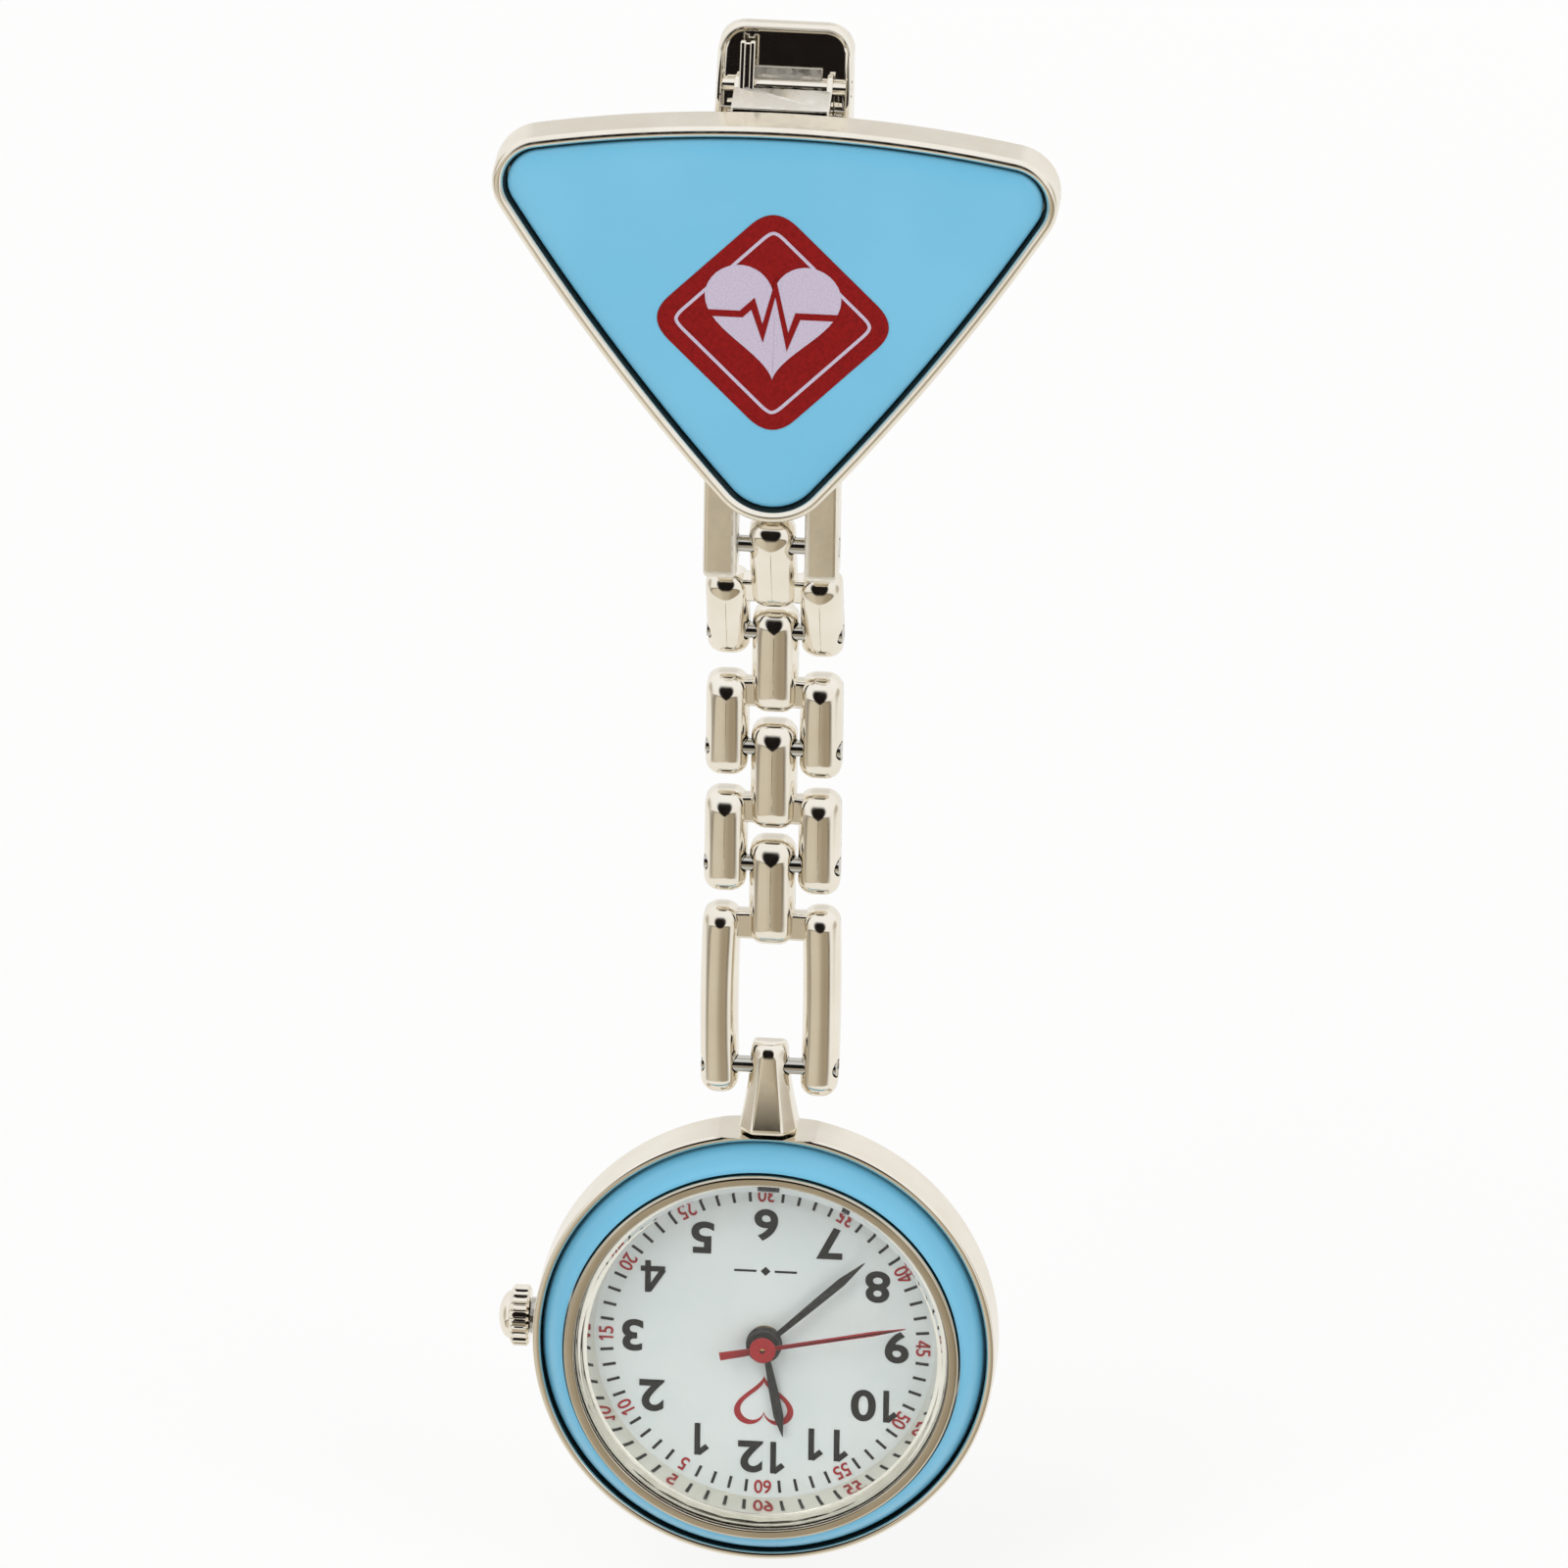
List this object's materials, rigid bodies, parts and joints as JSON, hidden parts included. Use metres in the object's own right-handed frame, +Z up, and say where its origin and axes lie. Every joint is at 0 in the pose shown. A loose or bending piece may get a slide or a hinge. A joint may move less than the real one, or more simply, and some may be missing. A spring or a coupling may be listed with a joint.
{
  "type": "fob watch",
  "caption": "Hanging fob watch: a clip badge with a blue inlay, a short hinged chain, and a round quartz watch with an upside-down dial for the wearer.",
  "frame": {"origin": "the point where the clip's jaw grips the cloth, midway between the jaw's teeth and the bracket plate", "axes": "+Z up as it hangs, -Y out of the dial and badge, +X to the right of someone facing the dial"},
  "size_m": [0.034, 0.009, 0.0986],
  "materials": {
    "nickel": "polished nickel plate over cast zinc or pressed steel",
    "steel": "plain bright steel",
    "blue_enamel": "smooth light blue resin enamel",
    "glass": "clear mineral glass with a polished edge",
    "dial_white": "matt white printed dial",
    "black": "satin black",
    "red": "satin red paint",
    "rubber": "matt black rubber",
    "plastic": "natural moulded plastic",
    "board": "green circuit board",
    "brass": "plain brass",
    "copper": "lacquered copper wire"
  },
  "bodies": {
    "badge": {"badge_frame": "nickel", "badge_inlay": "blue_enamel", "clip_bracket": "nickel", "clip_rivet_left": "nickel", "clip_rivet_right": "nickel", "clip_pin": "steel", "clip_spring": "steel", "chain_pin_1": "steel"},
    "clip_lever": {"clip_lever": "nickel"},
    "link_1": {"chain_link_1": "nickel", "chain_pin_2": "steel"},
    "link_2": {"chain_link_2": "nickel", "chain_pin_3": "steel"},
    "link_3": {"chain_link_3": "nickel", "chain_pin_4": "steel"},
    "link_4": {"long_link": "nickel", "chain_pin_5": "steel"},
    "watch": {"bail": "nickel", "case_body": "nickel", "blue_ring": "blue_enamel", "bezel": "nickel", "crystal": "glass", "crystal_gasket": "rubber", "dial_flange": "nickel", "dial": "dial_white", "case_back": "nickel", "back_gasket": "rubber", "movement_ring": "plastic", "main_plate": "brass", "train_bridge": "steel", "circuit_board": "board", "quartz_can": "steel", "timer_chip": "black", "coil_core": "steel", "motor_coil": "copper", "stator": "steel", "battery": "steel", "battery_strap": "steel", "crown_tube": "steel"},
    "setting_lever": {"setting_lever": "steel"},
    "crown_seal": {"crown_gasket": "rubber"},
    "crown": {"crown": "nickel", "crown_stem": "steel", "clutch_wheel": "steel"},
    "seconds": {"seconds_wheel": "brass", "seconds_hand": "red"},
    "minutes": {"centre_wheel": "brass", "minute_hand": "black"},
    "hours": {"hour_wheel": "brass", "hour_hand": "black"},
    "minute_wheel": {"minute_wheel": "brass"},
    "third_wheel": {"third_wheel": "brass"},
    "intermediate_wheel": {"intermediate_wheel": "brass"},
    "rotor": {"rotor": "steel"}
  },
  "joints": [
    {"name": "clip_open", "type": "hinge", "parent": "badge", "child": "clip_lever", "pos_m": [0, 0.00225, 0.0135], "axis": [1, 0, 0], "range_deg": [0, 20], "stiffness_Nm_per_rad": 0.02, "springref_deg": -28.65, "deforming": ["clip_spring"]},
    {"name": "chain_hinge_1", "type": "hinge", "parent": "badge", "child": "link_1", "pos_m": [0, -0.00195, -0.0145], "axis": [1, 0, 0], "range_deg": [-54, 6]},
    {"name": "chain_hinge_2", "type": "hinge", "parent": "link_1", "child": "link_2", "pos_m": [0, 0.00114, -0.02144], "axis": [1, 0, 0], "range_deg": [-6, 54]},
    {"name": "chain_hinge_3", "type": "hinge", "parent": "link_2", "child": "link_3", "pos_m": [0, 0.00114, -0.02904], "axis": [1, 0, 0], "range_deg": [-30, 30]},
    {"name": "chain_hinge_4", "type": "hinge", "parent": "link_3", "child": "link_4", "pos_m": [0, 0.00114, -0.03664], "axis": [1, 0, 0], "range_deg": [-30, 30]},
    {"name": "chain_hinge_5", "type": "hinge", "parent": "link_4", "child": "watch", "pos_m": [0, 0.00114, -0.04984], "axis": [1, 0, 0], "range_deg": [-75, 75]},
    {"name": "crown_pull", "type": "slide", "parent": "watch", "child": "crown_seal", "axis": [-1, 0, 0], "range_m": [0, 0.0008]},
    {"name": "crown_turn", "type": "hinge", "parent": "crown_seal", "child": "crown", "pos_m": [-0.014, 0.00234, -0.06759], "axis": [-1, 0, 0], "continuous": true},
    {"name": "setting_lever_swing", "type": "hinge", "parent": "watch", "child": "setting_lever", "pos_m": [-0.007, 0.00294, -0.06539], "axis": [0, 1, 0], "range_deg": [0, 24]},
    {"name": "seconds_turn", "type": "hinge", "parent": "watch", "child": "seconds", "pos_m": [0, 0.00114, -0.06759], "axis": [0, 1, 0], "continuous": true},
    {"name": "minutes_turn", "type": "hinge", "parent": "watch", "child": "minutes", "pos_m": [0, 0.00114, -0.06759], "axis": [0, 1, 0], "continuous": true},
    {"name": "hours_turn", "type": "hinge", "parent": "watch", "child": "hours", "pos_m": [0, 0.00114, -0.06759], "axis": [0, 1, 0], "continuous": true},
    {"name": "minute_wheel_turn", "type": "hinge", "parent": "watch", "child": "minute_wheel", "pos_m": [0.0012, 0.00114, -0.06551], "axis": [0, 1, 0], "continuous": true},
    {"name": "third_wheel_turn", "type": "hinge", "parent": "watch", "child": "third_wheel", "pos_m": [-0.0011, 0.00114, -0.06569], "axis": [0, 1, 0], "continuous": true},
    {"name": "intermediate_wheel_turn", "type": "hinge", "parent": "watch", "child": "intermediate_wheel", "pos_m": [-0.00091, 0.00114, -0.06955], "axis": [0, 1, 0], "continuous": true},
    {"name": "rotor_turn", "type": "hinge", "parent": "watch", "child": "rotor", "pos_m": [-0.00192, 0.00114, -0.07098], "axis": [0, 1, 0], "continuous": true}
  ],
  "couplings": [
    {"joint": "rotor_turn", "follows": "seconds_turn", "ratio": 30},
    {"joint": "intermediate_wheel_turn", "follows": "seconds_turn", "ratio": -5},
    {"joint": "third_wheel_turn", "follows": "seconds_turn", "ratio": -0.13333},
    {"joint": "minutes_turn", "follows": "seconds_turn", "ratio": 0.016667},
    {"joint": "minute_wheel_turn", "follows": "seconds_turn", "ratio": -0.0055556},
    {"joint": "hours_turn", "follows": "seconds_turn", "ratio": 0.0013889},
    {"joint": "setting_lever_swing", "follows": "crown_pull", "rad_per_m": 455}
  ]
}
